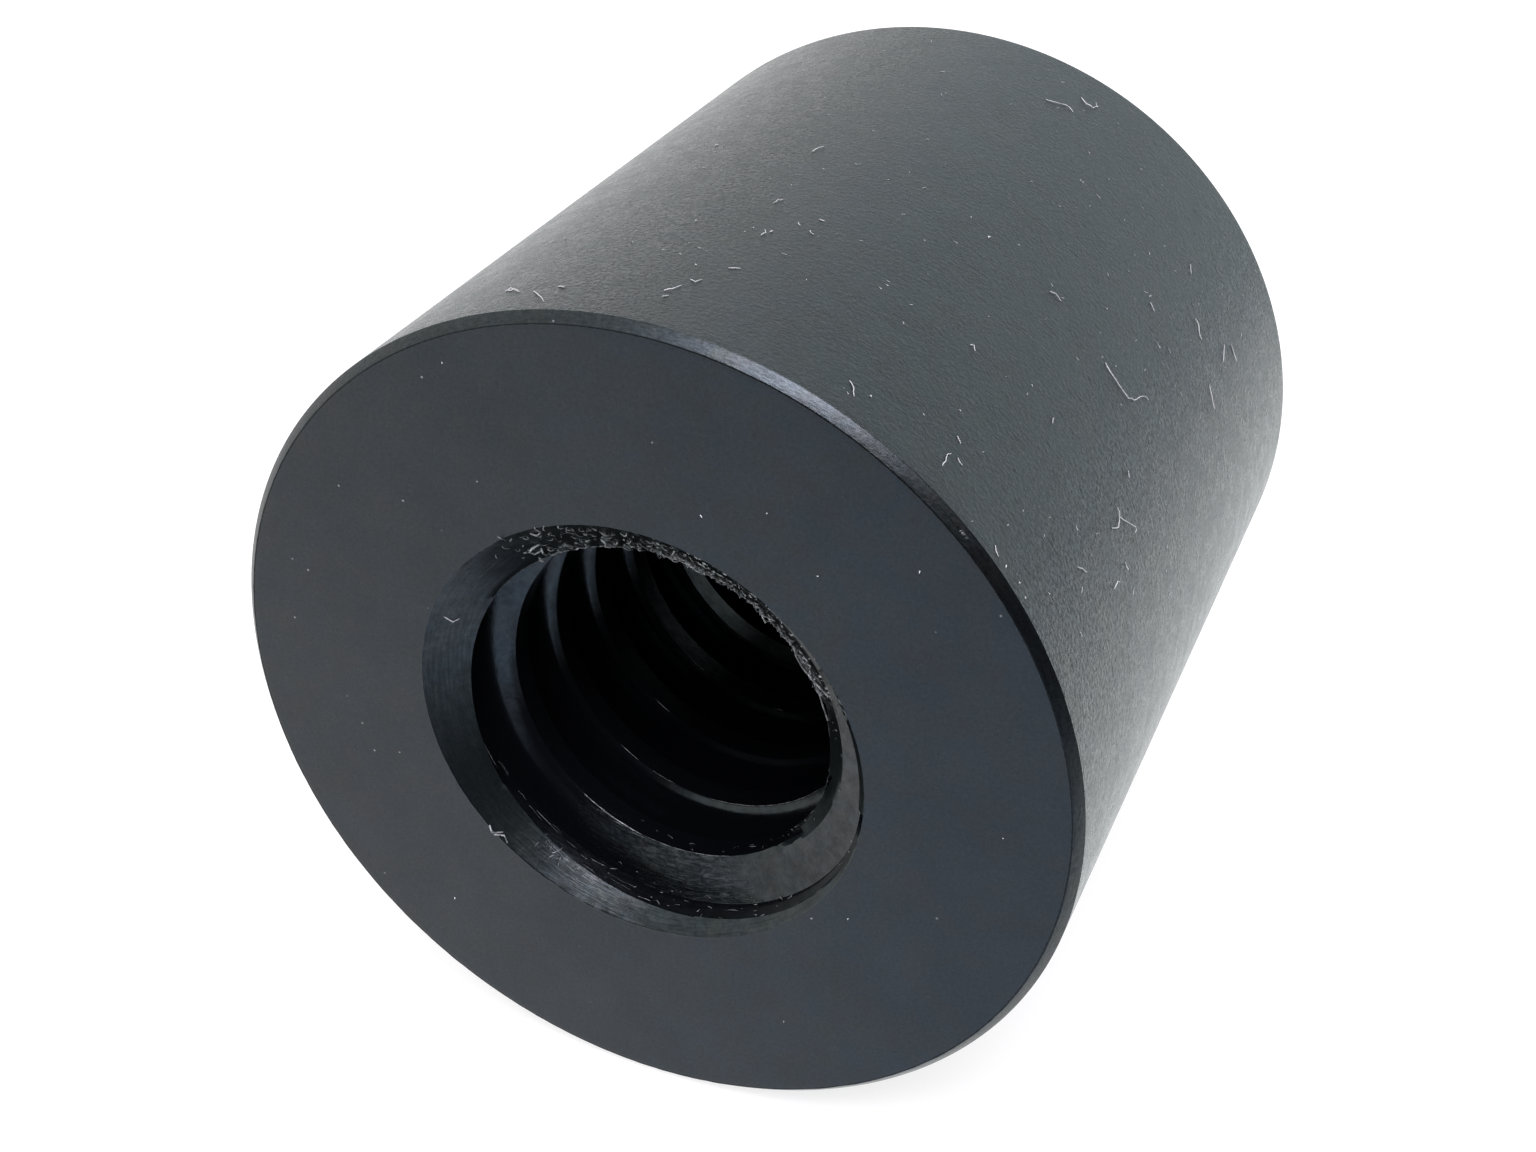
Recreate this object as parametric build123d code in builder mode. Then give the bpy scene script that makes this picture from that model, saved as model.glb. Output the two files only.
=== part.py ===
"""Round lead screw nut with a right-hand trapezoidal thread, machined from one bar of plastic.

Millimetres. The origin is on the screw axis, halfway between the two end faces.
The screw axis lies along Y and +Z is up, as the nut sits on a horizontal screw.
The front end face looks along -Y, so +Y is the way a right-hand screw travels
as it is driven in at the front.
"""

from build123d import *
from build123d.topology import SkipClean
from math import ceil, radians, tan
import os

# --- driving dimensions -------------------------------------------------------
OUTER_D = 60.0          # turned outside diameter
LENGTH = 60.0           # between the two end faces
EDGE_BREAK = 0.6        # small 45 degree chamfer on both outer edges

NOMINAL_D = 30.0        # screw size the nut is cut for, Tr30x6
PITCH = 6.0             # single start, so the lead is the same
FLANK_ANGLE = 15.0      # lean of each flank, 30 degrees between the two

# what each thread diameter adds to its basic size
MINOR_ALLOWANCE = 0.4
PITCH_ALLOWANCE = 0.5
ROOT_ALLOWANCE = 1.0

MOUTH_D = 32.0          # rim of the 45 degree countersink at both ends of the bore
GROOVE_AT_TOP = 5.4     # depth behind the front face where the groove's middle crosses
                        # the line straight above the screw axis
CUTTER_OVERLAP = 1.0    # how far the groove's cutter reaches inside the crest bore

# --- derived ------------------------------------------------------------------
R_OUT = OUTER_D / 2
R_MINOR = (NOMINAL_D - PITCH + MINOR_ALLOWANCE) / 2        # crest bore
R_PITCH = (NOMINAL_D - PITCH / 2 + PITCH_ALLOWANCE) / 2    # ridge and groove equally wide
R_ROOT = (NOMINAL_D + ROOT_ALLOWANCE) / 2                  # bottom of the thread groove
R_MOUTH = MOUTH_D / 2
R_CUTTER = R_MINOR - CUTTER_OVERLAP                        # inner edge of the groove's cutter

SINK = R_MOUTH - R_MINOR            # depth of each countersink along the axis
FRONT = -LENGTH / 2                 # y of the front end face
BACK = LENGTH / 2                   # y of the back end face

# The turns follow each other from before the front face to past the back face, so
# the groove runs out through both countersinks as a single-point cut thread does.
FIRST_TURN = FRONT + GROOVE_AT_TOP - PITCH * ceil((GROOVE_AT_TOP + PITCH) / PITCH)
TURNS = ceil((BACK + PITCH - FIRST_TURN) / PITCH)


def groove_half_width(radius):
    """Half the width of the thread groove along the axis, at this radius."""
    return PITCH / 4 + (R_PITCH - radius) * tan(radians(FLANK_ANGLE))


# --- one turn of the thread groove: a trapezoid carried once round the axis --------
inner_half = groove_half_width(R_CUTTER)
root_half = groove_half_width(R_ROOT)

with BuildPart() as groove_turn:
    with BuildLine() as lead:
        Helix(
            pitch=PITCH,
            height=PITCH,
            radius=R_PITCH,
            center=(0, FIRST_TURN, 0),
            direction=(0, 1, 0),
        )
    # the helix begins straight above the axis, so its section stands in the YZ plane
    with BuildSketch(Plane(origin=(0, FIRST_TURN, 0), x_dir=(0, 0, 1), z_dir=(1, 0, 0))) as section:
        with BuildLine():
            Polyline(
                (R_CUTTER, -inner_half),
                (R_ROOT, -root_half),
                (R_ROOT, root_half),
                (R_CUTTER, inner_half),
                close=True,
            )
        make_face()
    sweep(sections=section.sketch, path=lead.line, is_frenet=True)

# --- the nut --------------------------------------------------------------------
with BuildPart() as lead_screw_nut:
    # turned blank, half section in the XY plane: radius along X, length along Y;
    # the countersinks are turned in, the bore between them is still solid
    with BuildSketch(Plane.XY):
        with BuildLine():
            Polyline(
                (0, FRONT + SINK),
                (R_MINOR, FRONT + SINK),
                (R_MOUTH, FRONT),
                (R_OUT - EDGE_BREAK, FRONT),
                (R_OUT, FRONT + EDGE_BREAK),
                (R_OUT, BACK - EDGE_BREAK),
                (R_OUT - EDGE_BREAK, BACK),
                (R_MOUTH, BACK),
                (R_MINOR, BACK - SINK),
                (0, BACK - SINK),
                close=True,
            )
        make_face()
    revolve(axis=Axis.Y)

    # the crest bore is opened a quarter turn at a time and its wall stays in quarters,
    # so every face of the finished crest is a short piece of the helix
    with SkipClean():
        for quarter in range(4):
            with BuildSketch(Plane.XY.rotated((0, 90 * quarter, 0))):
                with Locations((R_MINOR / 2, 0)):
                    Rectangle(R_MINOR, LENGTH - 2 * SINK)
            revolve(axis=Axis.Y, revolution_arc=90, mode=Mode.SUBTRACT)

        for turn in range(TURNS):
            with Locations((0, turn * PITCH, 0)):
                add(groove_turn.part, mode=Mode.SUBTRACT)

lead_screw_nut.part.label = "lead_screw_nut"

os.makedirs("parts", exist_ok=True)
export_step(lead_screw_nut.part, "parts/lead_screw_nut.step")
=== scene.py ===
import math
from functools import reduce
from types import SimpleNamespace

import bmesh
import bpy
import numpy as np
from mathutils import Matrix, Vector, noise


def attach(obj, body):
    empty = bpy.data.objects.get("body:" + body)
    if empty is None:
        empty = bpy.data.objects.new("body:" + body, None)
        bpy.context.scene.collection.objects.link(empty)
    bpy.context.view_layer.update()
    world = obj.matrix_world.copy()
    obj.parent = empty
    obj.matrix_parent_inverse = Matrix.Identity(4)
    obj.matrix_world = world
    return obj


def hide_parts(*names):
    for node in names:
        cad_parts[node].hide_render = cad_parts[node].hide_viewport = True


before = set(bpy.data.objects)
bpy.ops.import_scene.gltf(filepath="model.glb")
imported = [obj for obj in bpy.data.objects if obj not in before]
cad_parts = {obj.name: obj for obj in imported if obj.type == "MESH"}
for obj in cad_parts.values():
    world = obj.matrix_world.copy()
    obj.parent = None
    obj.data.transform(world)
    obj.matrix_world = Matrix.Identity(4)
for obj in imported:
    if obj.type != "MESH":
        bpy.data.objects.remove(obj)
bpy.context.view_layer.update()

MM = 0.001

# Nut
R_OUT = 30.0
HALF = 30.0                     # half the nut's length
EDGE_BREAK = 0.6                # chamfer on the outer edges
R_MOUTH = 16.0                  # the 45 degree countersinks, where they meet the end faces

# Thread
PITCH = 6.0
R_CREST = 12.2
R_ROOT = 15.5
R_PITCH = 13.75                 # where groove and crest are equally wide
FLANK_TAN = math.tan(math.radians(15.0))
FILLET_R = 0.10                 # rounding in the groove's two corners
Y0 = -HALF + 5.4                # a groove's middle, straight above the axis

COLUMNS = 360                   # mesh columns round the axis
EDGE_ROUND = dict(radius=0.12, count=4)     # rounding of the chamfer's two edges
SHARP = math.radians(20)        # body edges steeper than this stay sharp
RNG = np.random.default_rng(7)


# =========================================================================================
# Body: columns round the axis. Inside the bore each column follows the thread's tracks, so
# the crest edges, flanks and groove corners run as clean helices.
# =========================================================================================
def half_width(radius):
    """Half the groove's width at a radius."""
    return PITCH / 4 + (R_PITCH - radius) * FLANK_TAN


def rounded(before, corner, after, radius, count):
    """Points of an arc that rounds the corner of the line before-corner-after."""
    before, corner, after = map(np.array, (before, corner, after))
    back = (before - corner) / np.linalg.norm(before - corner)
    ahead = (after - corner) / np.linalg.norm(after - corner)
    angle = math.acos(float(back @ ahead))
    reach = radius / math.tan(angle / 2)
    middle = (back + ahead) / np.linalg.norm(back + ahead)
    centre = corner + middle * radius / math.sin(angle / 2)
    start, end = (math.atan2(*(corner + way * reach - centre)[::-1]) for way in (back, ahead))
    sweep = (end - start + math.pi) % (2 * math.pi) - math.pi
    turns = [start + sweep * k / (count - 1) for k in range(count)]
    return [tuple(centre + radius * np.array((math.cos(t), math.sin(t)))) for t in turns]


def thread_profile():
    """One pitch, from crest middle to crest middle: (offset from the groove's middle, radius)."""
    at_crest, at_root = half_width(R_CREST), half_width(R_ROOT)
    edge = at_crest + 0.20
    # the flank leans back where it nears the crest, and meets it in a sharp edge
    left = [
        (-PITCH / 2, R_CREST),
        (-(PITCH / 2 + at_crest + 0.2) / 2, R_CREST),
        (-edge, R_CREST),
        (-half_width(R_CREST + 0.25) - 0.075, R_CREST + 0.25),
        (-half_width(R_CREST + 0.6), R_CREST + 0.6),
    ]
    fillet = rounded((-at_crest, R_CREST), (-at_root, R_ROOT), (0, R_ROOT), FILLET_R, 3)
    (x0, r0), (x1, r1) = left[-1], fillet[0]
    left += [(x0 + (x1 - x0) * k / 3, r0 + (r1 - r0) * k / 3) for k in (1, 2)]
    left += fillet + [(0.0, R_ROOT)]
    return np.array(left + [(-x, radius) for x, radius in reversed(left[1:-1])])


def outer_profile():
    """The outside, from the front mouth's rim to the back mouth's rim: (y, radius)."""
    on_face, on_side = (-HALF, R_OUT - EDGE_BREAK), (-HALF + EDGE_BREAK, R_OUT)
    points = [(-HALF, R_MOUTH)]
    points += [(-HALF, radius) for radius in np.linspace(R_MOUTH + 0.5, on_face[1] - 0.5, 4)]
    points += rounded((-HALF, 20), on_face, on_side, **EDGE_ROUND)
    points += rounded(on_face, on_side, (0, R_OUT), **EDGE_ROUND)
    points += [(y, R_OUT) for y in np.linspace(on_side[0] + 0.6, 0, 8)]
    return np.array(points + [(-y, radius) for y, radius in reversed(points[:-1])])


PROFILE = thread_profile()
OUTSIDE = outer_profile()
PER_PITCH = len(PROFILE)
GROOVES = range(math.floor((-HALF - Y0 - PITCH) / PITCH) - 1,
                math.ceil((HALF - Y0) / PITCH) + 2)
THREAD_Y = np.concatenate([PROFILE[:, 0] + k * PITCH for k in GROOVES]) + Y0
THREAD_R = np.tile(PROFILE[:, 1], len(GROOVES))


def chatter(angle, y):
    """How far the countersink strays from a true cone: torn on the front near the top, a
    little towards -X, and nearly true elsewhere."""
    degrees = (math.degrees(angle) + 180) % 360 - 180
    torn = math.exp(-(((degrees + 12) / 32) ** 2)) if y < 0 else 0.0
    arc = R_MOUTH * angle
    wave = noise.noise((arc * 0.9, y * 1.3, 3.1)) + 0.6 * noise.noise((arc * 2.1, y * 2.7, 8.4))
    return wave * (0.004 + 0.050 * torn)


def bore_column(angle):
    """(y, radius, snapped) of one column's bore points, both countersinks cut in. Snapped
    points have been moved to where the thread crosses a countersink."""
    y = THREAD_Y + PITCH * angle / (2 * math.pi)
    radius = THREAD_R.copy()
    snapped = np.zeros(len(y), bool)
    for side in (-1, 1):
        near = np.abs(side * HALF - y) < 6
        stray = np.array([chatter(angle, v) if n else 0.0 for v, n in zip(y, near)])
        cone = R_MOUTH - (HALF - side * y) + stray
        excess = radius - cone             # > 0 where the thread lies outside the cone
        for j in np.nonzero((excess[:-1] * excess[1:] < 0) & near[:-1])[0]:
            part = excess[j] / (excess[j] - excess[j + 1])
            cross_y = y[j] + part * (y[j + 1] - y[j])
            cross_r = radius[j] + part * (radius[j + 1] - radius[j])
            closest = j if part < 0.5 else j + 1
            if not snapped[closest]:
                y[closest], radius[closest] = cross_y, cross_r
                snapped[closest] = True
        radius = np.where(near, np.maximum(radius, cone), radius)
    return y, radius, snapped


def uneven(k, y, radius, sine, cosine):
    """The outside's radius, a little uneven on the mouths' rims and the chamfers' face edges."""
    if k in (0, len(OUTSIDE) - 1):
        radius += 0.030 * noise.noise((sine * 26, cosine * 26, k + 0.5))
    elif abs(radius - (R_OUT - EDGE_BREAK)) < 0.1 and abs(y) > HALF - 0.1:
        radius += 0.035 * noise.noise((sine * 40, cosine * 40, k * 0.01))
    return radius


def build_body():
    """The nut's vertices in mm, and its faces."""
    verts = []

    def add(sine, cosine, y, radius):
        verts.append((radius * sine, y, radius * cosine))
        return len(verts) - 1

    angles = 2 * math.pi * np.arange(COLUMNS) / COLUMNS
    tracks = len(THREAD_Y)
    outer = np.zeros((COLUMNS, len(OUTSIDE)), int)
    for i, angle in enumerate(angles):
        sine, cosine = math.sin(angle), math.cos(angle)
        for k, (y, radius) in enumerate(OUTSIDE):
            outer[i, k] = add(sine, cosine, y, uneven(k, y, radius, sine, cosine))

    bore = np.zeros((COLUMNS + 1, tracks), int)
    snap = np.zeros((COLUMNS + 1, tracks), bool)
    for i, angle in enumerate(angles):
        sine, cosine = math.sin(angle), math.cos(angle)
        y, radius, snap[i] = bore_column(angle)
        for j in range(tracks):
            if y[j] <= -HALF + 1e-6:
                bore[i, j] = outer[i, 0]
            elif y[j] >= HALF - 1e-6:
                bore[i, j] = outer[i, -1]
            else:
                bore[i, j] = add(sine, cosine, y[j], radius[j])
    # after a full turn the tracks meet the first column one pitch further on
    bore[COLUMNS, :-PER_PITCH] = bore[0, PER_PITCH:]
    snap[COLUMNS, :-PER_PITCH] = snap[0, PER_PITCH:]
    bore[COLUMNS, -PER_PITCH:] = outer[0, -1]

    quads, tris = [], []
    for i in range(COLUMNS):
        a, b = outer[i], outer[(i + 1) % COLUMNS]
        quads += [(a[k], a[k + 1], b[k + 1], b[k]) for k in range(len(OUTSIDE) - 1)]
    for i in range(COLUMNS):
        a, b = bore[i], bore[i + 1]
        for j in range(tracks - 1):
            face = tuple(dict.fromkeys((a[j], b[j], b[j + 1], a[j + 1])))
            if len(face) < 3:
                continue
            # a quad is split where the countersink's edge runs along its diagonal
            if len(face) == 3:
                tris.append(face)
            elif snap[i, j] and snap[i + 1, j + 1]:
                tris += [(a[j], b[j], b[j + 1]), (a[j], b[j + 1], a[j + 1])]
            elif snap[i, j + 1] and snap[i + 1, j]:
                tris += [(a[j], b[j], a[j + 1]), (b[j], b[j + 1], a[j + 1])]
            else:
                quads.append(face)
    return verts, quads + tris


# =========================================================================================
# Burrs: shreds of plastic left standing on the front mouth's edges. Each is a closed,
# tapered shred rooted in the surface, and part of the nut's mesh. Angles are in degrees.
# =========================================================================================
def polar(degrees, y, radius):
    angle = math.radians(degrees)
    return np.array((radius * math.sin(angle), y, radius * math.cos(angle)))


def on_cone(degrees, rise, lift=0.0):
    """A point on the front countersink: rise mm out from the crest's radius, lift mm off it."""
    lift /= math.sqrt(2)
    return polar(degrees, -HALF + R_MOUTH - R_CREST - rise - lift, R_CREST + rise - lift)


def groove_y(degrees):
    return Y0 + PITCH * degrees / 360


def rim_rise(degrees):
    """Where the countersink ends inwards: at the crest, or at the first groove's flank."""
    reach = PITCH / 4 + R_PITCH * FLANK_TAN - groove_y(degrees) - HALF + R_MOUTH
    return max(0.0, reach / (1 + FLANK_TAN) - R_CREST)


def bore_gap(point):
    """How far a point stands off the nut: positive in the open bore or in front of it."""
    x, y, z = point
    radius = math.hypot(x, z)
    if abs(y) >= HALF:
        return max(abs(y) - HALF, R_MOUTH - radius)
    turned = PITCH * math.atan2(x, z) / (2 * math.pi)
    offset = (y - Y0 - turned + PITCH / 2) % PITCH - PITCH / 2
    wall = R_PITCH + (PITCH / 4 - abs(offset)) / FLANK_TAN
    return max(min(max(wall, R_CREST), R_ROOT), R_MOUTH - HALF + abs(y)) - radius


class Shreds:
    """A growing mesh of shreds; tone holds how pale each vertex is: stretched plastic, and on the
    crest glint threads a painted glint.
    """

    def __init__(self, held=False):
        self.verts, self.faces, self.tone = [], [], []
        self.held = held

    def add(self, path, radius, flat=1.0, sides=5, tone=0.6):
        """A shred along path with radius along it, its section pressed flat by flat."""
        path = [np.asarray(point, float) for point in path]
        count = len(path)
        if self.held:
            # a shred that would hang free over a groove is moved out until it touches
            near = min(path, key=bore_gap)
            gap = bore_gap(near)
            if gap > 0.0 and abs(near[1]) < HALF:
                out = np.array((near[0], 0.0, near[2])) / math.hypot(near[0], near[2])
                path = [point + out * (gap + 0.04) for point in path]
        radius = np.broadcast_to(radius, (count,))
        base = len(self.verts)
        reference = np.array((0.3, -0.8, 0.5))
        for k in range(count):
            along = path[min(k + 1, count - 1)] - path[max(k - 1, 0)]
            along /= np.linalg.norm(along) + 1e-12
            wide = np.cross(along, reference)
            wide /= np.linalg.norm(wide) + 1e-12
            thin = np.cross(along, wide)
            for m in range(sides):
                turn = 2 * math.pi * m / sides
                section = wide * math.cos(turn) + flat * thin * math.sin(turn)
                self.verts.append(path[k] + radius[k] * section)
                self.tone.append(tone)
        for k in range(count - 1):
            for m in range(sides):
                p, q = base + k * sides + m, base + k * sides + (m + 1) % sides
                self.faces.append((p, q, q + sides, p + sides))
        self.faces.append(tuple(base + m for m in range(sides)))
        self.faces.append(tuple(base + (count - 1) * sides + m for m in reversed(range(sides))))

    def curl(self, degrees, rise, length, radius, lift, bend, turn, pale=0.1):
        """A short curl on the countersink; it starts in direction turn and bends each step."""
        count = 5
        step = length / (count - 1)
        points = []
        around, out = 0.0, 0.0
        for k in range(count):
            height = lift * math.sin(math.pi * k / (count - 1)) - 0.02
            swung = degrees + math.degrees(around / (R_CREST + rise))
            points.append(on_cone(swung, rise + out, height))
            around += step * math.cos(turn)
            out += step * math.sin(turn)
            turn += bend
        self.add(points, radius * np.array((0.5, 0.9, 1.0, 0.85, 0.35)), flat=0.6,
                 tone=float(RNG.uniform(pale, 1.0)) ** 1.3)

    def crumb(self, root, tip, wobble, radius, taper, tone):
        """A crumb from root to tip; radius and tone are ranges to draw from."""
        self.add([root, (root + tip) / 2 + RNG.normal(0, wobble, 3), tip],
                 RNG.uniform(*radius) * np.array(taper), tone=float(RNG.uniform(*tone)))

    def speck(self, place, spread, radius, stretch=(1, 1, 1)):
        """A small speck; spread is how far its middle and its end wander from place."""
        wander = [place + RNG.normal(0, size, 3) * stretch for size in spread]
        self.add([place] + wander, np.array(radius))


# Curls placed one by one on the countersink: a path of (degrees, rise, lift), then its radius
PLACED_CURLS = (
    ([(-23.9, 3.27, 0), (-25.4, 3.2, 0.15), (-26.6, 3.4, 0)], 0.075),
    ([(-29.8, 2.1, 0), (-32.0, 2.2, 0.2), (-34.2, 2.0, 0.22), (-34.9, 1.55, 0.1),
      (-32.7, 1.5, 0)], 0.085),
    ([(-31.6, 1.7, 0), (-33.0, 1.3, 0.15), (-33.9, 0.9, 0)], 0.075),
    ([(-8.6, 2.95, 0), (-7.2, 2.9, 0.2), (-8.0, 2.35, 0)], 0.07),
    ([(-12.1, 1.65, 0), (-11.6, 1.3, 0.2), (-13.2, 0.9, 0.15), (-15.0, 0.5, 0)], 0.08),
    ([(2.0, 0.95, 0), (5.5, 0.9, 0.15), (8.2, 0.9, 0.12), (10.1, 1.05, 0),
      (12.2, 0.85, 0)], 0.06),
    ([(10.5, 2.6, 0), (9.2, 1.9, 0.2), (9.5, 1.2, 0)], 0.06),
    ([(11.1, 1.0, 0), (14.8, 0.4, 0.2), (17.4, 0.4, 0.1), (20.5, 0.3, 0)], 0.06),
    ([(36.2, 0.5, 0), (38.5, 0.1, 0.2), (40.5, -0.1, 0.3)], 0.06),
    ([(50.2, 0.6, 0), (53.5, 0.3, 0.2), (57.5, 0.3, 0.25), (62.0, 0.9, 0.15),
      (65.0, 1.8, 0)], 0.07),
    ([(60.4, 0.2, 0.1), (66.0, 0.45, 0.1), (71.0, 0.2, 0.1), (77.3, 0.1, 0)], 0.055),
    ([(-132.5, 3.75, 0), (-134.3, 3.9, 0.12), (-136.2, 3.5, 0)], 0.07),
    ([(-135.0, 3.9, 0), (-137.0, 3.55, 0.14), (-139.0, 3.7, 0)], 0.06),
    ([(-68.5, 3.1, 0), (-70.0, 2.6, 0.1), (-69.2, 2.3, 0)], 0.05),
)

# Pale threads on the crests' front edges, burrs whose pale tone is a painted glint: (crest, from
# degrees, to degrees, radius, lift)
CREST_GLINT_THREADS = (
    (-1, -145, -172, 0.050, 0.03), (-1, -172, -203, 0.022, 0.01), (0, -145, -153, 0.035, 0.02),
    (0, -159, -168, 0.032, 0.02), (0, -181, -229, 0.026, 0.015), (1, -144, -151, 0.035, 0.02),
    (2, -146, -151, 0.035, 0.02), (2, -181, -185, 0.030, 0.02),
)


def add_ragged_lip(burrs):
    """Overlapping shreds along the countersink's inner edge, in two heavy stretches."""
    for k in range(40):
        start = -64 + k * 4.3
        heavy = -36 < start < -16 or 2 < start < 66
        size = 1.0 if heavy else 0.55
        points, radii = [], []
        for m in range(6):
            degrees = start + m * 0.98
            points.append(on_cone(degrees, rim_rise(degrees) + RNG.normal(0, 0.06) * size,
                                  0.01 + abs(RNG.normal(0, 0.04)) * size))
            radii.append(RNG.uniform(0.014, 0.075) * size)
        radii[0] *= 0.5
        radii[-1] *= 0.5
        burrs.add(points, radii, flat=0.7, tone=0.95 if heavy else 0.12)


def add_curls(burrs):
    for path, radius in PLACED_CURLS:
        burrs.add([on_cone(*point) for point in path], radius, flat=0.6, tone=1.0)
    for _ in range(170):                   # over the torn stretch at the top
        degrees = RNG.normal(-12, 16)
        if not -44 < degrees < 22:
            continue
        inner = rim_rise(degrees)
        burrs.curl(degrees, rise=inner + (3.6 - inner) * RNG.beta(1.1, 1.6),
                   length=RNG.uniform(0.25, 0.75), radius=RNG.uniform(0.03, 0.07),
                   lift=RNG.uniform(0.02, 0.14), bend=RNG.normal(0, 0.7),
                   turn=RNG.uniform(0, 6.28))
    for _ in range(150):                   # paler, low on the countersink towards +X
        burrs.curl(RNG.uniform(0, 66), rise=RNG.uniform(-0.05, 1.3),
                   length=RNG.uniform(0.25, 0.8), radius=RNG.uniform(0.03, 0.065),
                   lift=RNG.uniform(0.05, 0.25), bend=RNG.normal(0, 0.7),
                   turn=RNG.normal(0, 0.9), pale=0.35)
    for _ in range(26):                    # small and sparse, further round
        burrs.curl(RNG.uniform(66, 118), rise=RNG.uniform(0.0, 3.6),
                   length=RNG.uniform(0.15, 0.35), radius=RNG.uniform(0.02, 0.04),
                   lift=RNG.uniform(0.02, 0.06), bend=RNG.normal(0, 0.5),
                   turn=RNG.uniform(0, 6.28))


def add_frayed_start(burrs):
    """The frayed start of the thread: strands and curls on the first groove's front edge."""
    count = 9
    taper = np.array((0.5, 1, 1, 1, 1, 1, 1, 0.8, 0.4))
    for _ in range(13):
        start, end = RNG.uniform(-153, -144), RNG.uniform(-172, -160)
        offset = RNG.uniform(-0.1, 0.55)
        points = [on_cone(degrees, rim_rise(degrees) + offset * (0.3 + 0.7 * i / count)
                          + RNG.normal(0, 0.02), 0.01 + RNG.uniform(0, 0.04))
                  for i, degrees in enumerate(np.linspace(start, end, count))]
        burrs.add(points, RNG.uniform(0.02, 0.05) * taper, flat=0.7,
                  tone=float(RNG.uniform(0.05, 0.6)))
    for _ in range(16):
        degrees = RNG.uniform(-153, -145)
        burrs.curl(degrees, rise=rim_rise(degrees) + RNG.uniform(-0.2, 0.5),
                   length=RNG.uniform(0.25, 0.6), radius=RNG.uniform(0.03, 0.06),
                   lift=RNG.uniform(0.05, 0.15), bend=RNG.normal(0, 0.5),
                   turn=RNG.normal(1.2, 0.5))


def add_groove_strands(burrs):
    """Loose strands along the first groove's bottom."""
    taper = np.array((0.4, 1, 1, 1, 0.8, 0.3))
    for _ in range(18):
        start = RNG.uniform(-172, -112)
        end = start - RNG.uniform(4, 11)
        offset = RNG.uniform(-0.8, 0.9)
        radius = R_ROOT - RNG.uniform(0.0, 0.03)
        points = [polar(degrees, groove_y(degrees) + offset + RNG.normal(0, 0.03),
                        radius - 0.02 * math.sin(i))
                  for i, degrees in enumerate(np.linspace(start, end, 6))]
        burrs.add(points, RNG.uniform(0.015, 0.035) * taper, flat=0.8,
                  tone=float(RNG.uniform(0.05, 0.45)))


def add_crumbs(burrs):
    """Crumbs in the bottom of the first groove and on the first crest."""
    for _ in range(46):
        degrees = RNG.uniform(140, 204)
        centre = groove_y(degrees - 360)
        y = centre + RNG.uniform(-0.85, 1.25)
        wall = min(R_ROOT, R_PITCH + (PITCH / 4 - (y - centre)) / FLANK_TAN)
        tip = polar(degrees + RNG.normal(0, 1.6), y + RNG.normal(0, 0.16),
                    wall - RNG.uniform(0.03, 0.12))
        burrs.crumb(polar(degrees, y, wall - 0.01), tip, wobble=0.07,
                    radius=(0.02, 0.042), taper=(0.8, 1, 0.4), tone=(0.15, 0.9))
    for _ in range(30):
        degrees = RNG.uniform(96, 215)
        y = groove_y(degrees - 360) + 1.95 + 2.1 * RNG.beta(1.2, 1.6)
        if y < -HALF + R_MOUTH - R_CREST + 0.1:
            continue
        tip = polar(degrees + RNG.normal(0, 1.2), y + RNG.normal(0, 0.12),
                    R_CREST - RNG.uniform(0.02, 0.07))
        burrs.crumb(polar(degrees, y, R_CREST), tip, wobble=0.04,
                    radius=(0.012, 0.035), taper=(0.7, 1, 0.5), tone=(0.1, 0.6))


def add_crest_glint_threads(burrs):
    for crest, start, end, radius, lift in CREST_GLINT_THREADS:
        count = max(4, int(abs(end - start) / 2.0))
        points = [polar(degrees, Y0 + PITCH * (degrees / 360 + crest + 1) + half_width(R_CREST)
                        + 0.2 + RNG.normal(0, 0.008), R_CREST - lift + 0.02)
                  for degrees in np.linspace(start, end, count)]
        swell = np.sin(np.linspace(0.25, math.pi - 0.25, count)) ** 0.5
        # the pale tone is a painted glint along the crest edge
        burrs.add(points, radius * swell, flat=0.8, tone=0.75 if radius > 0.04 else 0.5)


def add_edge_nick(burrs):
    """A nick on the front outer edge."""
    for _ in range(7):
        degrees = 45.4 + RNG.normal(0, 0.6)
        root = polar(degrees, -HALF + 0.02, 29.05 + RNG.uniform(0, 0.2))
        tip = polar(degrees + RNG.normal(0.5, 0.3), -HALF + 0.35, 29.78)
        burrs.add([root, (root + tip) / 2, tip],
                  RNG.uniform(0.03, 0.05) * np.array((0.7, 1, 0.6)))


def build_burrs():
    burrs = Shreds(held=True)
    # the order matters: all of them draw from the same random numbers
    for add in (add_ragged_lip, add_curls, add_frayed_start, add_groove_strands, add_crumbs,
                add_crest_glint_threads, add_edge_nick):
        add(burrs)
    return burrs


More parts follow.
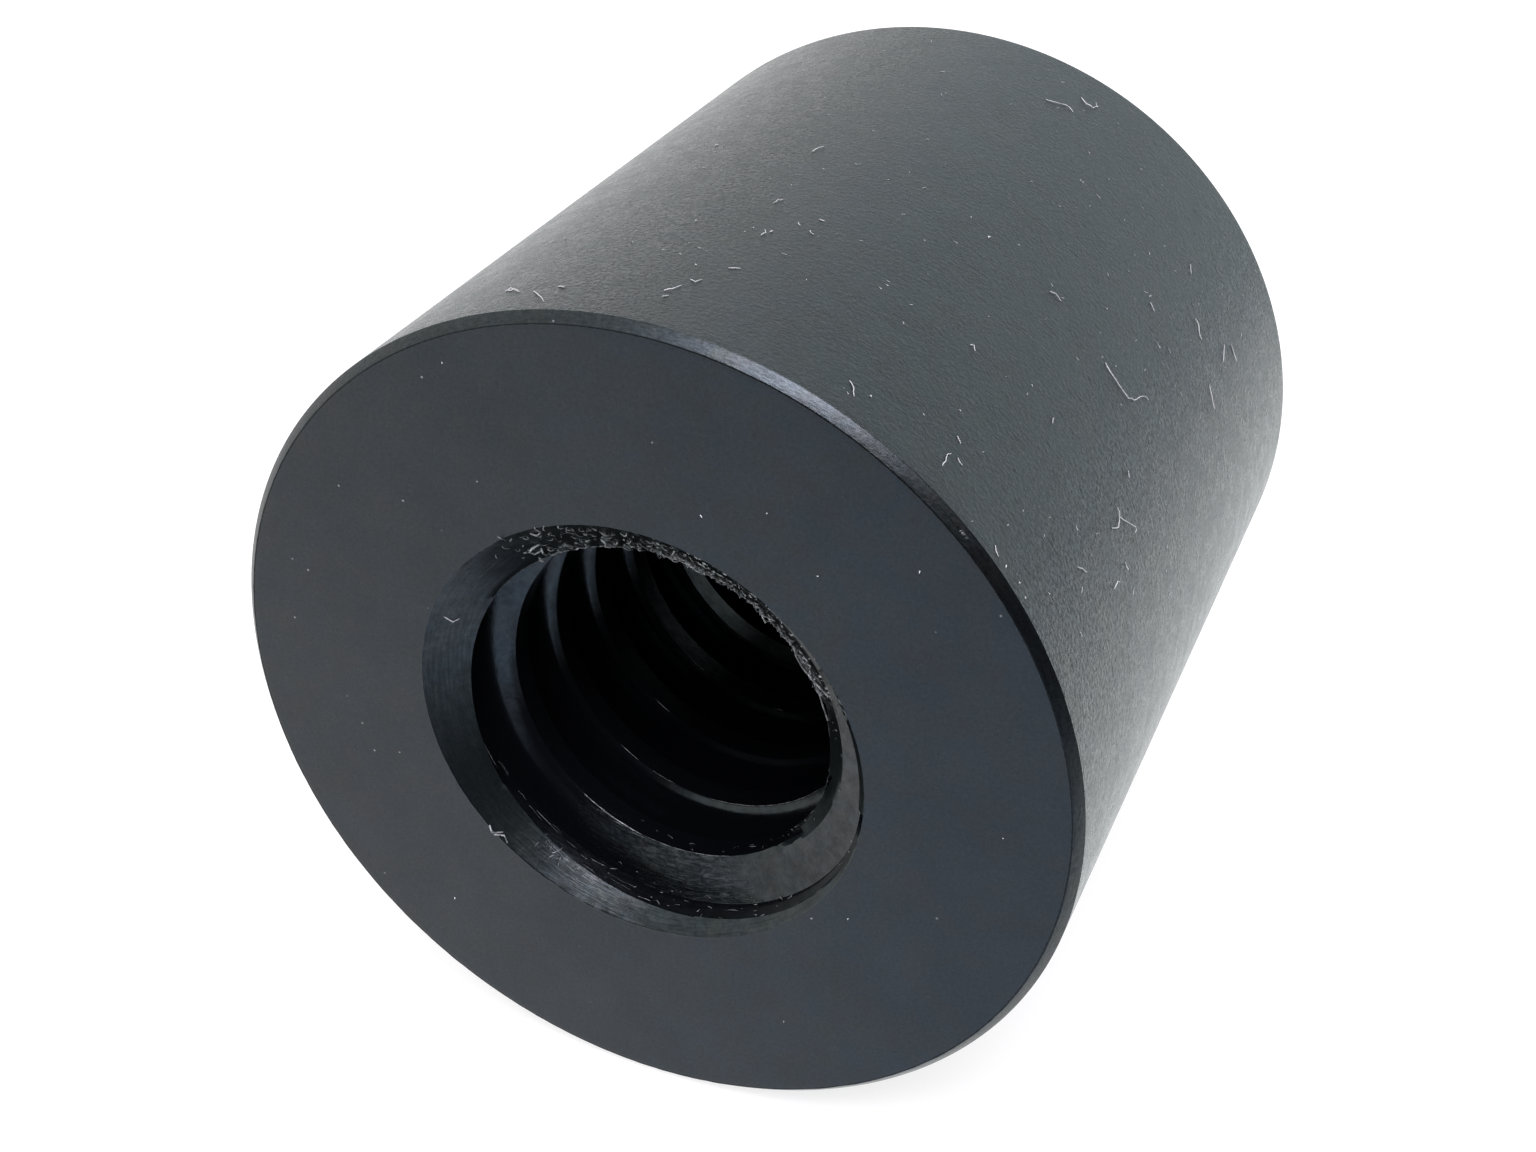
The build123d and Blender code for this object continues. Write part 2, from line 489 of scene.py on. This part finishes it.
def build_nut():
    """One mesh of body and burrs; its shred attribute is 0 on the body, the tone on burrs."""
    verts, faces = build_body()
    burrs = build_burrs()
    body = len(verts)
    faces = [tuple(int(v) for v in face) for face in faces]
    faces += [tuple(v + body for v in face) for face in burrs.faces]
    mesh = bpy.data.meshes.new("lead_screw_nut_visual")
    points = np.concatenate([np.array(verts) * MM, np.array(burrs.verts) * MM])
    mesh.from_pydata([tuple(point) for point in points], [], faces)
    shred = mesh.attributes.new("shred", "FLOAT", "POINT")
    tones = np.concatenate([np.zeros(body), np.array(burrs.tone)])
    shred.data.foreach_set("value", tones.astype(np.float32))
    mesh.update()

    bm = bmesh.new()
    bm.from_mesh(mesh)
    bmesh.ops.recalc_face_normals(bm, faces=bm.faces)
    loose = [vert for vert in bm.verts if not vert.link_faces]
    bmesh.ops.delete(bm, geom=loose, context="VERTS")
    layer = bm.verts.layers.float["shred"]
    for edge in bm.edges:
        on_body = edge.verts[0][layer] == 0.0 and len(edge.link_faces) == 2
        edge.smooth = not (on_body and edge.calc_face_angle(0) > SHARP)
    for face in bm.faces:
        face.smooth = True
    bm.to_mesh(mesh)
    bm.free()
    nut = bpy.data.objects.new("lead_screw_nut_body", mesh)
    bpy.context.scene.collection.objects.link(nut)
    return nut


# =========================================================================================
# Materials
# =========================================================================================
class NodeWriter:
    """Writes a node tree in order. Every input takes a value or another node's output."""

    def __init__(self, owner):
        owner.use_nodes = True
        self.tree = owner.node_tree
        self.tree.nodes.clear()

    def node(self, kind, inputs={}, **settings):
        node = self.tree.nodes.new(kind)
        for name, value in settings.items():
            setattr(node, name, value)
        for key, value in inputs.items():
            if isinstance(value, bpy.types.NodeSocket):
                self.tree.links.new(value, node.inputs[key])
            else:
                node.inputs[key].default_value = value
        return node

    def math(self, operation, *values):
        return self.node("ShaderNodeMath", dict(enumerate(values)),
                         operation=operation).outputs[0]

    def mul(self, *values):
        return reduce(lambda a, b: self.math("MULTIPLY", a, b), values)

    def add(self, a, b):
        return self.math("ADD", a, b)

    def sub(self, a, b):
        return self.math("SUBTRACT", a, b)

    def invert(self, value):
        return self.sub(1.0, value)

    def vector(self, operation, a, b):
        node = self.node("ShaderNodeVectorMath", {0: a, 1: b}, operation=operation)
        return node.outputs[1 if operation == "DOT_PRODUCT" else 0]

    def separate(self, vector):
        return self.node("ShaderNodeSeparateXYZ", {0: vector}).outputs

    def combine(self, *axes):
        """A vector from three axes, each a value or an (output, scale) pair."""
        axes = [self.mul(*axis) if isinstance(axis, tuple) else axis for axis in axes]
        return self.node("ShaderNodeCombineXYZ", dict(enumerate(axes))).outputs[0]

    def coordinates(self, kind):
        return self.node("ShaderNodeTexCoord").outputs[kind]

    def noise(self, vector, scale=1.0, detail=2.0, rough=0.5, distortion=0.0):
        return self.node("ShaderNodeTexNoise", {
            "Vector": vector, "Scale": scale, "Detail": detail, "Roughness": rough,
            "Distortion": distortion}).outputs["Fac"]

    def ramp(self, value, over, to=(0.0, 1.0), smooth=True):
        """Takes value from the range over to the range to, held at both ends."""
        return self.node("ShaderNodeMapRange", {
            "Value": value, "From Min": over[0], "From Max": over[1],
            "To Min": to[0], "To Max": to[1]},
            interpolation_type="SMOOTHSTEP" if smooth else "LINEAR", clamp=True).outputs["Result"]

    def fade(self, value, over):
        return self.ramp(value, over, to=(1.0, 0.0))

    def band(self, value, rise, fall):
        return self.mul(self.ramp(value, over=rise), self.fade(value, over=fall))

    def mix(self, factor, low, high):
        return self.node("ShaderNodeMix", {"Factor": factor, 6: low, 7: high},
                         data_type="RGBA").outputs[2]

    def dim(self, value, where, by):
        """Lowers value by a share where the mask is 1."""
        return self.mul(value, self.invert(self.mul(where, by)))

    def vary(self, value, where, pattern, over, to):
        """Multiplies value by the pattern's ramp where the mask is 1."""
        return self.mul(value, self.ramp(where, over=(0.0, 1.0),
                                         to=(1.0, self.ramp(pattern, over, to))))

    def surface(self, shader, kind="Material"):
        self.node("ShaderNodeOutput" + kind, {"Surface": shader.outputs[0]})


def nut_zones(net):
    """Coordinates in millimetres, and masks of the nut's surfaces."""
    zone = SimpleNamespace()
    zone.mm = net.node("ShaderNodeVectorMath", {0: net.coordinates("Object"), "Scale": 1 / MM},
                       operation="SCALE").outputs[0]
    x, zone.y, z = net.separate(zone.mm)
    zone.radius = net.math("SQRT", net.add(net.mul(x, x), net.mul(z, z)))
    zone.turn = net.math("ARCTAN2", x, z)             # the angle round the axis, in radians
    zone.depth = net.math("ABSOLUTE", zone.y)         # distance from the nut's middle, along Y

    zone.bore = net.fade(zone.radius, over=(R_MOUTH - 0.10, R_MOUTH + 0.06))
    zone.side = net.mul(net.ramp(zone.radius, over=(R_OUT - 0.10, R_OUT - 0.04)),
                        net.fade(zone.depth, over=(29.36, 29.42)))
    off_cone = net.sub(net.sub(zone.depth, zone.radius), HALF - R_MOUTH)
    zone.cone = net.mul(net.fade(net.math("ABSOLUTE", off_cone), over=(0.10, 0.16)), zone.bore)
    zone.crest = net.mul(net.fade(zone.radius, over=(R_CREST + 0.04, R_CREST + 0.10)),
                         net.invert(zone.cone))
    off_bevel = net.sub(net.add(zone.depth, zone.radius), HALF + R_OUT - EDGE_BREAK)
    zone.bevel = net.fade(net.math("ABSOLUTE", off_bevel), over=(0.06, 0.12))
    zone.shred = net.node("ShaderNodeAttribute", attribute_name="shred").outputs["Fac"]

    # the first groove near the bottom, torn into streaks
    here = net.math("COSINE", net.add(zone.turn, math.radians(171)))
    torn = net.mul(net.ramp(here, over=(0.68, 0.97)),
                   net.ramp(zone.y, over=(-24.4, -24.9)), zone.bore)
    zone.torn = net.dim(torn, zone.cone, by=0.6)
    # the front countersink at the upper right (+X), choked with shreds
    here = net.math("COSINE", net.sub(zone.turn, math.radians(36)))
    zone.choked = net.mul(net.ramp(here, over=(0.80, 0.93)), zone.cone,
                          net.ramp(zone.y, over=(0.0, -1.0)))
    # the side's grain stands out more on both sides of a strip just to the +X of the top
    zone.coarse = net.mul(zone.side, net.add(net.ramp(zone.turn, over=(0.75, 1.10)),
                                             net.ramp(zone.turn, over=(0.20, -0.15))))
    return zone


def nut_patterns(net, zone):
    """The noises shared by colour, gloss and relief."""
    mm, turn, y, radius = zone.mm, zone.turn, zone.y, zone.radius
    tex = SimpleNamespace()
    tex.grain = net.noise(mm, scale=5.5, rough=0.6)                  # fine grain, 0.2 mm
    tex.pebble = net.noise(mm, scale=3.3, detail=3.0, rough=0.65)    # coarser, on the side
    tex.mottle = net.noise(mm, scale=0.22, detail=4.0, rough=0.6)    # wide, faint clouding
    tex.scuff = net.noise(net.vector("ADD", mm, (3.0, 60.0, 14.0)), scale=0.55, detail=5.0,
                          rough=0.7)
    tex.smear = net.noise(net.vector("ADD", mm, (5.0, 50.0, 2.0)), scale=1.1, detail=4.0,
                          rough=0.65)
    # turning marks
    around = net.combine((turn, 30.0), y, radius)
    tex.drag = net.noise(net.vector("MULTIPLY", around, (0.5, 6.0, 1.0)), detail=3.0,
                         rough=0.55)
    # tool marks running round the cone
    tex.rings = net.noise(net.combine((turn, 7.0), (y, 9.0), (radius, 3.0)), detail=3.0,
                          rough=0.6)
    tex.streak = net.noise(net.combine((turn, 9.0), (y, 2.0), (radius, 3.6)), detail=4.0,
                           rough=0.65, distortion=1.6)
    tex.brush = net.noise(net.combine((turn, 60.0), (y, 9.0), 2.0), detail=3.0, rough=0.7)
    crumb = net.noise(net.combine((turn, 46.0), (radius, 1.3), 8.0), rough=0.6)
    tex.crumb = net.ramp(crumb, over=(0.57, 0.64))
    # a few short dents on the side, bumped in, with painted shade in them
    dent = net.noise(net.combine((turn, 15.0), (y, 2.2), 4.0))
    tex.dent = net.mul(net.ramp(dent, over=(0.63, 0.70)),
                       net.mul(zone.side, net.ramp(turn, over=(0.55, 0.95), to=(0.35, 1.0))))
    return tex


def nut_colour(net, zone, tex):
    dots = net.node("ShaderNodeTexVoronoi", {"Vector": zone.mm, "Scale": 0.45}, feature="F1")
    patches = net.ramp(net.noise(zone.mm, scale=0.16, detail=1.0), over=(0.42, 0.60))
    speck = net.mul(net.fade(dots.outputs["Distance"], over=(0.025, 0.045)), patches)
    tone = net.mix(tex.mottle, low=(0.0060, 0.0074, 0.0088, 1), high=(0.0075, 0.0082, 0.0090, 1))
    tone = net.mix(net.mul(net.ramp(tex.pebble, over=(0.58, 0.70)), zone.side),
                   low=tone, high=(0.016, 0.017, 0.018, 1))
    base = net.mix(zone.bore, low=tone, high=(0.0020, 0.0024, 0.0032, 1))
    base = net.mix(zone.cone, low=base, high=(0.0042, 0.0060, 0.0062, 1))
    base = net.mix(zone.bevel, low=base, high=(0.0020, 0.0025, 0.0030, 1))
    # pale specks everywhere outside the bore
    base = net.mix(net.mul(speck, net.invert(zone.bore)),
                   low=base, high=(0.20, 0.21, 0.22, 1))
    # stretched plastic goes pale, in patches; on the crest glint threads the paleness is a
    # painted glint
    pale = net.ramp(net.noise(zone.mm, scale=2.2, detail=1.0), over=(0.38, 0.62))
    pale = net.mul(zone.shred, net.ramp(pale, over=(0.0, 1.0), to=(0.35, 1.0)))
    base = net.mix(pale, low=base, high=(0.33, 0.35, 0.36, 1))
    crumbs = 0.75                                     # how far crumbs cover the choked part
    return net.mix(net.mul(tex.crumb, zone.choked, crumbs),
                   low=base, high=(0.46, 0.50, 0.51, 1))


def nut_specular(net, zone, tex):
    """How strongly each part reflects."""
    half = 0.5                                        # equal shares of grain and pebble
    level = net.ramp(net.add(net.mul(tex.grain, half), net.mul(tex.pebble, half)),
                     over=(0.30, 0.70), to=(0.38, 0.62), smooth=False)
    level = net.mul(level, net.ramp(tex.mottle, over=(0.3, 0.7), to=(0.95, 1.05)))
    level = net.vary(level, zone.side, tex.scuff, over=(0.32, 0.68), to=(0.87, 1.11))
    # painted shade in the dents: their reflection is dimmed
    level = net.dim(level, tex.dent, by=0.35)
    # painted shade: the reflection is dimmed on the crests deep in the bore, and almost put out
    # in the bore's lower +X part
    deep_crest_shade = net.mul(zone.crest, net.ramp(zone.depth, over=(23.0, 20.0)))
    level = net.dim(level, deep_crest_shade, by=0.55)
    low = net.math("COSINE", net.sub(zone.turn, math.radians(152)))
    low = net.mul(net.ramp(low, over=(0.35, 0.70)),
                  net.ramp(zone.depth, over=(18.6, 17.0)), zone.bore)
    level = net.dim(level, low, by=0.95)
    level = net.vary(level, net.mul(zone.crest, net.invert(deep_crest_shade)), tex.rings,
                     over=(0.3, 0.7), to=(0.7, 1.25))
    level = net.vary(level, zone.cone, tex.rings, over=(0.3, 0.7), to=(0.75, 1.2))
    level = net.vary(level, zone.torn, tex.streak, over=(0.36, 0.66), to=(0.30, 1.45))
    level = net.vary(level, zone.bore, tex.smear, over=(0.3, 0.7), to=(0.75, 1.2))
    level = net.dim(level, zone.choked, by=0.92)
    level = net.vary(level, zone.bevel, tex.brush, over=(0.35, 0.65), to=(0.80, 1.18))
    # a painted shadow line round the end faces, just inside the chamfer: the reflection is dimmed
    # there
    painted_shadow_line = net.sub(zone.radius, net.ramp(tex.brush, over=(0.3, 0.7), to=(29.33, 29.37)))
    painted_shadow_line = net.mul(net.fade(net.math("ABSOLUTE", painted_shadow_line), over=(0.02, 0.05)),
                   net.ramp(zone.depth, over=(29.9, 29.98)))
    level = net.dim(level, painted_shadow_line, by=0.6)
    fleck = net.noise(zone.mm, scale=3.9, detail=1.0)
    return net.vary(level, zone.coarse, fleck, over=(0.38, 0.62), to=(0.60, 1.45))


def nut_tint(net, zone, tex):
    """The reflection's cool tint, clouded."""
    cloud = net.noise(net.vector("ADD", zone.mm, (31.0, 7.0, 90.0)), scale=0.45, detail=3.0,
                      rough=0.6)
    cloud = net.ramp(cloud, over=(0.35, 0.65))
    return net.mix(net.ramp(tex.scuff, over=(0.35, 0.65)),
                   low=net.mix(cloud, low=(0.90, 0.99, 1.01, 1), high=(0.83, 1.0, 1.08, 1)),
                   high=net.mix(cloud, low=(0.85, 1.01, 1.00, 1), high=(0.79, 1.0, 1.09, 1)))


def nut_roughness(net, zone, tex):
    outside = net.add(net.ramp(tex.drag, over=(0.3, 0.7), to=(-0.03, 0.03)),
                      net.ramp(tex.grain, over=(0.2, 0.8), to=(0.27, 0.32)))
    scuffed = net.ramp(tex.scuff, over=(0.32, 0.68), to=(-0.05, 0.04))
    outside = net.add(net.mul(scuffed, zone.side), outside)
    cone_extra = 0.12                                 # the countersinks are rougher
    inside = net.add(net.ramp(tex.grain, over=(0.3, 0.7), to=(0.155, 0.185)),
                     net.mul(zone.cone, cone_extra))
    return net.add(net.mul(outside, net.invert(zone.bore)), net.mul(zone.bore, inside))


def nut_relief(net, zone, tex):
    """Bump normals from heights in mm."""
    def raised(height, pattern, where, by):
        return net.add(height, net.mul(pattern, where, by))

    grain_height, drag_height, dent_depth = 0.0060, 0.004, 0.045
    crest_share = 0.5                                 # of the cone's ring marks
    height = net.add(net.mul(tex.grain, grain_height), net.mul(tex.drag, drag_height))
    height = raised(height, tex.pebble, zone.side,
                    by=net.ramp(zone.coarse, over=(0.0, 1.0), to=(0.17, 0.21)))
    height = raised(height, tex.crumb, zone.choked, by=0.08)
    height = raised(height, tex.rings, net.add(zone.cone, net.mul(zone.crest, crest_share)),
                    by=0.022)
    height = net.sub(height, net.mul(tex.dent, dent_depth))
    height = raised(height, tex.brush, zone.bevel, by=0.035)
    height = raised(height, tex.smear, zone.bore, by=0.030)
    height = raised(height, tex.streak, zone.torn, by=0.06)
    return net.node("ShaderNodeBump", {
        "Strength": 0.5, "Distance": MM, "Height": height}).outputs[0]


def machined_plastic():
    material = bpy.data.materials.new("machined_black_plastic")
    net = NodeWriter(material)
    zone = nut_zones(net)
    tex = nut_patterns(net, zone)
    net.surface(net.node("ShaderNodeBsdfPrincipled", {
        "Base Color": nut_colour(net, zone, tex),
        "Roughness": nut_roughness(net, zone, tex),
        "Specular IOR Level": nut_specular(net, zone, tex),
        "Specular Tint": nut_tint(net, zone, tex),
        "Normal": nut_relief(net, zone, tex),
        "IOR": 1.5,
    }))
    return material


def dust_material():
    material = bpy.data.materials.new("dust")
    net = NodeWriter(material)
    patches = net.noise(net.coordinates("Object"), scale=900.0, detail=1.0)
    net.surface(net.node("ShaderNodeBsdfPrincipled", {
        "Base Color": net.mix(patches, low=(0.28, 0.30, 0.31, 1), high=(0.78, 0.80, 0.80, 1)),
        "Roughness": 0.7,
    }))
    return material


def floor_material():
    """A pale backlit table: it keeps only a faint shadow."""
    material = bpy.data.materials.new("pale_floor")
    net = NodeWriter(material)
    patches = net.noise(net.coordinates("Object"), scale=40.0, detail=3.0)
    net.surface(net.node("ShaderNodeBsdfPrincipled", {
        "Base Color": net.mix(patches, low=(0.30, 0.30, 0.30, 1), high=(0.32, 0.32, 0.32, 1)),
        "Roughness": 0.9,
        "Specular IOR Level": 0.0,
        "Emission Color": (1, 1, 1, 1),
        "Emission Strength": 0.78,
    }))
    material.cycles.emission_sampling = "NONE"
    return material


# =========================================================================================
# Stage
# =========================================================================================
# Fibres lying on the side: paths of (degrees, y)
FIBRES = (
    [(-0.0, -0.4), (0.3, 0.1), (0.7, 0.8)], [(2.3, -9.9), (2.5, -9.5), (2.9, -9.1)],
    [(4.8, -15.0), (5.1, -14.6), (4.6, -14.1)], [(9.2, -12.5), (10.0, -12.8)],
    [(7.2, -11.9), (7.7, -12.2)], [(9.0, -10.6), (9.7, -10.6)], [(-15.0, 0.5), (-14.7, 0.7)],
    [(-11.5, -25.9), (-10.5, -26.1)], [(-19.0, -25.8), (-18.5, -25.5), (-16.5, -26.3)],
    [(20.0, 21.2), (21.7, 21.6), (22.8, 22.0), (24.2, 21.7)],
    [(23.7, 24.7), (24.9, 24.1), (26.0, 24.1), (26.4, 24.8), (25.8, 25.4)],
    [(51.2, 16.8), (52.1, 16.0)], [(37.2, -3.0), (38.0, -2.8), (39.0, -2.9)],
    [(49.2, 7.3), (50.4, 7.0)], [(56.5, 12.5), (57.7, 12.2), (59.2, 11.8)],
    [(64.8, 14.2), (63.4, 15.6)], [(64.6, 17.0), (67.2, 17.0)],
    [(48.5, -3.8), (49.7, -4.1), (50.9, -4.1), (52.5, -4.1), (53.9, -4.0), (54.8, -3.4),
     (55.3, -2.3), (55.9, -1.6), (56.7, -1.3)],
    [(64.6, 9.8), (66.2, 9.3), (67.8, 9.2)], [(47.1, -14.4), (46.8, -13.9)],
    [(59.6, -9.1), (60.3, -9.4)],
    [(61.9, -14.8), (62.6, -14.1), (61.9, -13.3), (63.5, -12.5), (65.1, -11.6), (65.7, -11.8)],
    [(61.0, -12.9), (62.0, -13.1)], [(60.2, -21.4), (60.9, -21.0), (61.8, -20.6)],
    [(67.1, -17.8), (66.9, -17.2), (67.4, -16.7)], [(66.7, -14.9), (67.7, -14.8)],
    [(33.5, -15.0), (33.9, -14.9), (34.4, -15.2)], [(25.6, -26.3), (26.5, -26.8), (27.1, -27.4)],
    [(38.7, -23.7), (39.5, -24.0)], [(39.3, -27.0), (39.3, -26.5), (39.0, -25.9), (39.3, -25.5)],
    [(40.2, -25.3), (41.1, -25.5)], [(49.5, -28.3), (50.5, -28.7)],
    [(-11.5, -25.9), (-10.5, -25.9)], [(-18.5, -25.8), (-17.7, -25.8), (-16.4, -26.3)],
    [(-14.2, -26.5), (-12.7, -27.3), (-10.9, -28.3)], [(1.3, -25.1), (2.0, -24.8), (2.4, -24.0)],
    [(2.7, -23.0), (3.5, -23.3), (3.8, -22.7)], [(1.8, -25.9), (2.3, -25.6)],
    [(5.2, -20.4), (6.4, -20.0)],
)
# Specks on the side: (degrees, y)
SIDE_SPECKS = (
    (48.6, 7.9), (-9.1, -18.5), (-20.7, -16.5), (-17.9, -10.1), (-4.2, -14.5), (1.5, -20.9),
    (-1.9, -18.0), (51.9, -28.5), (54.5, -28.4), (56.2, -28.7), (37.1, -21.4), (23.4, -1.4),
    (26.9, -2.5), (5.3, -14.2), (3.0, -14.2), (28.5, -26.4), (50.1, -2.8),
)
# Specks on the front face: (x, z)
FACE_SPECKS = (
    (-12.0, 25.0), (5.1, 18.3), (15.1, -9.9), (10.7, -20.8), (12.7, 15.9), (-15.2, -18.6),
    (25.1, 0.1), (12.6, -10.7), (19.0, 17.8), (9.4, 19.4),
)


def build_dust():
    """Loose fibres and specks. They are not part of the nut, so they are a separate object, not
    attached to its body.
    """
    dust = Shreds()
    for fibre in FIBRES:
        points = [polar(degrees, y, R_OUT + (0.10 if 0 < i < len(fibre) - 1 else 0.04))
                  for i, (degrees, y) in enumerate(fibre)]
        path = []
        for start, end in zip(points, points[1:]):
            path += [start, (start + end) / 2 + RNG.normal(0, 0.03, 3)]
        path.append(points[-1])
        dust.add(path, 0.040 * np.linspace(1.0, 0.6, len(path)))
    for degrees, y in SIDE_SPECKS:
        dust.speck(polar(degrees, y, R_OUT + 0.02), spread=(0.05, 0.09),
                   radius=(0.04, 0.06, 0.03))
    for _ in range(150):                   # finer specks
        degrees, y = RNG.uniform(-25, 80), RNG.uniform(-29, 29)
        end = polar(degrees + RNG.normal(0, 0.35), y + RNG.normal(0, 0.15), R_OUT + 0.02)
        dust.add([polar(degrees, y, R_OUT + 0.005), end], np.array((0.020, 0.014)), sides=4)
    for x, z in FACE_SPECKS:
        dust.speck(np.array((x, -HALF - 0.02, z)), spread=(0.05, 0.08),
                   radius=(0.03, 0.05, 0.025), stretch=(1, 0.2, 1))
    mesh = bpy.data.meshes.new("dust")
    mesh.from_pydata([tuple(vert * MM) for vert in dust.verts], [], dust.faces)
    for face in mesh.polygons:
        face.use_smooth = True
    obj = bpy.data.objects.new("dust", mesh)
    bpy.context.scene.collection.objects.link(obj)
    mesh.materials.append(dust_material())


def build_floor():
    half = 3.0                             # metres
    mesh = bpy.data.meshes.new("floor")
    corners = [(-half, -half, 0), (half, -half, 0), (half, half, 0), (-half, half, 0)]
    mesh.from_pydata(corners, [], [(0, 1, 2, 3)])
    floor = bpy.data.objects.new("floor", mesh)
    floor.location = (0, 0, -R_OUT * MM)
    bpy.context.scene.collection.objects.link(floor)
    mesh.materials.append(floor_material())
    floor.visible_glossy = False


def studio():
    """Soft white surroundings: a lamp above and in front, a dark area in front, and cooler
    and brighter patches. Azimuth is 0 towards -Y and grows towards +X; both are degrees."""
    world = bpy.data.worlds.new("studio")
    net = NodeWriter(world)
    view = net.coordinates("Generated")
    x, y, z = net.separate(view)
    azimuth = net.math("DEGREES", net.math("ARCTAN2", x, net.mul(y, -1.0)))
    height = net.math("DEGREES", net.math("ARCSINE", z))

    def spot(azimuth, height, outer, inner):
        """A round patch that fades between two angles from its middle."""
        turn, rise = math.radians(azimuth), math.radians(height)
        middle = (math.sin(turn) * math.cos(rise), -math.cos(turn) * math.cos(rise),
                  math.sin(rise))
        return net.ramp(net.vector("DOT_PRODUCT", view, middle),
                        over=(math.cos(math.radians(outer)), math.cos(math.radians(inner))))

    # below the horizon: a warm patch in front at -X, a cool one in front
    low = net.ramp(height, over=(-6, -16))
    warm = net.mul(low, net.band(azimuth, rise=(-75, -55), fall=(-40, -25)))
    colour = net.mix(warm, low=(1.04, 1.04, 1.04, 1), high=(1.19, 1.12, 1.14, 1))
    cool = net.mul(low, net.band(azimuth, rise=(-42, -12), fall=(60, 90)))
    colour = net.mix(cool, low=colour, high=(0.78, 0.87, 1.08, 1))
    # behind: one cool and two bright patches
    colour = net.mix(spot(azimuth=165, height=10, outer=42, inner=26),
                     low=colour, high=(0.84, 0.94, 0.97, 1))
    colour = net.mix(spot(azimuth=165, height=-42, outer=32, inner=22),
                     low=colour, high=(1.55, 1.60, 1.62, 1))
    colour = net.mix(spot(azimuth=-144, height=-14, outer=24, inner=8),
                     low=colour, high=(1.32, 1.34, 1.34, 1))
    right = net.mul(net.band(azimuth, rise=(66, 80), fall=(100, 125)),
                    net.ramp(height, over=(-18, -32)))
    colour = net.mix(right, low=colour, high=(1.45, 1.45, 1.45, 1))
    # the dark area's foot reaches lower towards +X, save for a corner cut away there
    turned = net.ramp(azimuth, over=(18, 46))
    foot = net.ramp(height, over=(net.ramp(turned, over=(0, 1), to=(-22, -52), smooth=False),
                                  net.ramp(turned, over=(0, 1), to=(-11, -3), smooth=False)),
                    smooth=False)
    dark = net.mul(net.band(azimuth, rise=(-32, -10), fall=(85, 105)),
                   net.mul(foot, net.fade(height, over=(29, 40))))
    dark = net.dim(dark, net.ramp(azimuth, over=(64, 78)), by=net.ramp(height, over=(-14, -26)))
    colour = net.mix(dark, low=colour, high=(0.012, 0.012, 0.014, 1))
    lamp = net.mul(net.band(azimuth, rise=(-38, 17), fall=(44, 64)),
                   net.band(height, rise=(45.5, 52.5), fall=(68, 78)))
    colour = net.mix(lamp, low=colour, high=(14.0, 12.8, 14.4, 1))
    # the camera itself sees plain white
    seen = net.node("ShaderNodeLightPath").outputs["Is Camera Ray"]
    colour = net.mix(seen, low=colour, high=(1.05, 1.05, 1.05, 1))
    net.surface(net.node("ShaderNodeBackground", {0: colour}), kind="World")
    return world


def build_camera():
    """The camera stands in front, above and to the +X of the nut; its place is in metres."""
    camera = bpy.data.cameras.new("camera")
    camera.sensor_width = 36.0
    camera.lens = 47.9718
    camera.clip_start = 0.005
    camera.clip_end = 20.0
    obj = bpy.data.objects.new("camera", camera)
    bpy.context.scene.collection.objects.link(obj)
    right = Vector((0.91824089, 0.39602231, 0.0))
    up = Vector((-0.21106382, 0.48938512, 0.84614081))
    forward = Vector((-0.33509064, 0.77696109, -0.53295941))
    pose = Matrix((right, up, -forward)).transposed().to_4x4()
    pose.translation = (0.05038377, -0.12487570, 0.08019409)
    obj.matrix_world = pose
    bpy.context.scene.camera = obj


nut = build_nut()
nut.data.materials.append(machined_plastic())
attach(nut, "root")
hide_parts("lead_screw_nut")

build_dust()
build_floor()
scene = bpy.context.scene
scene.world = studio()
scene.view_settings.view_transform = "Standard"
scene.view_settings.look = "None"
scene.cycles.use_denoising = True
build_camera()
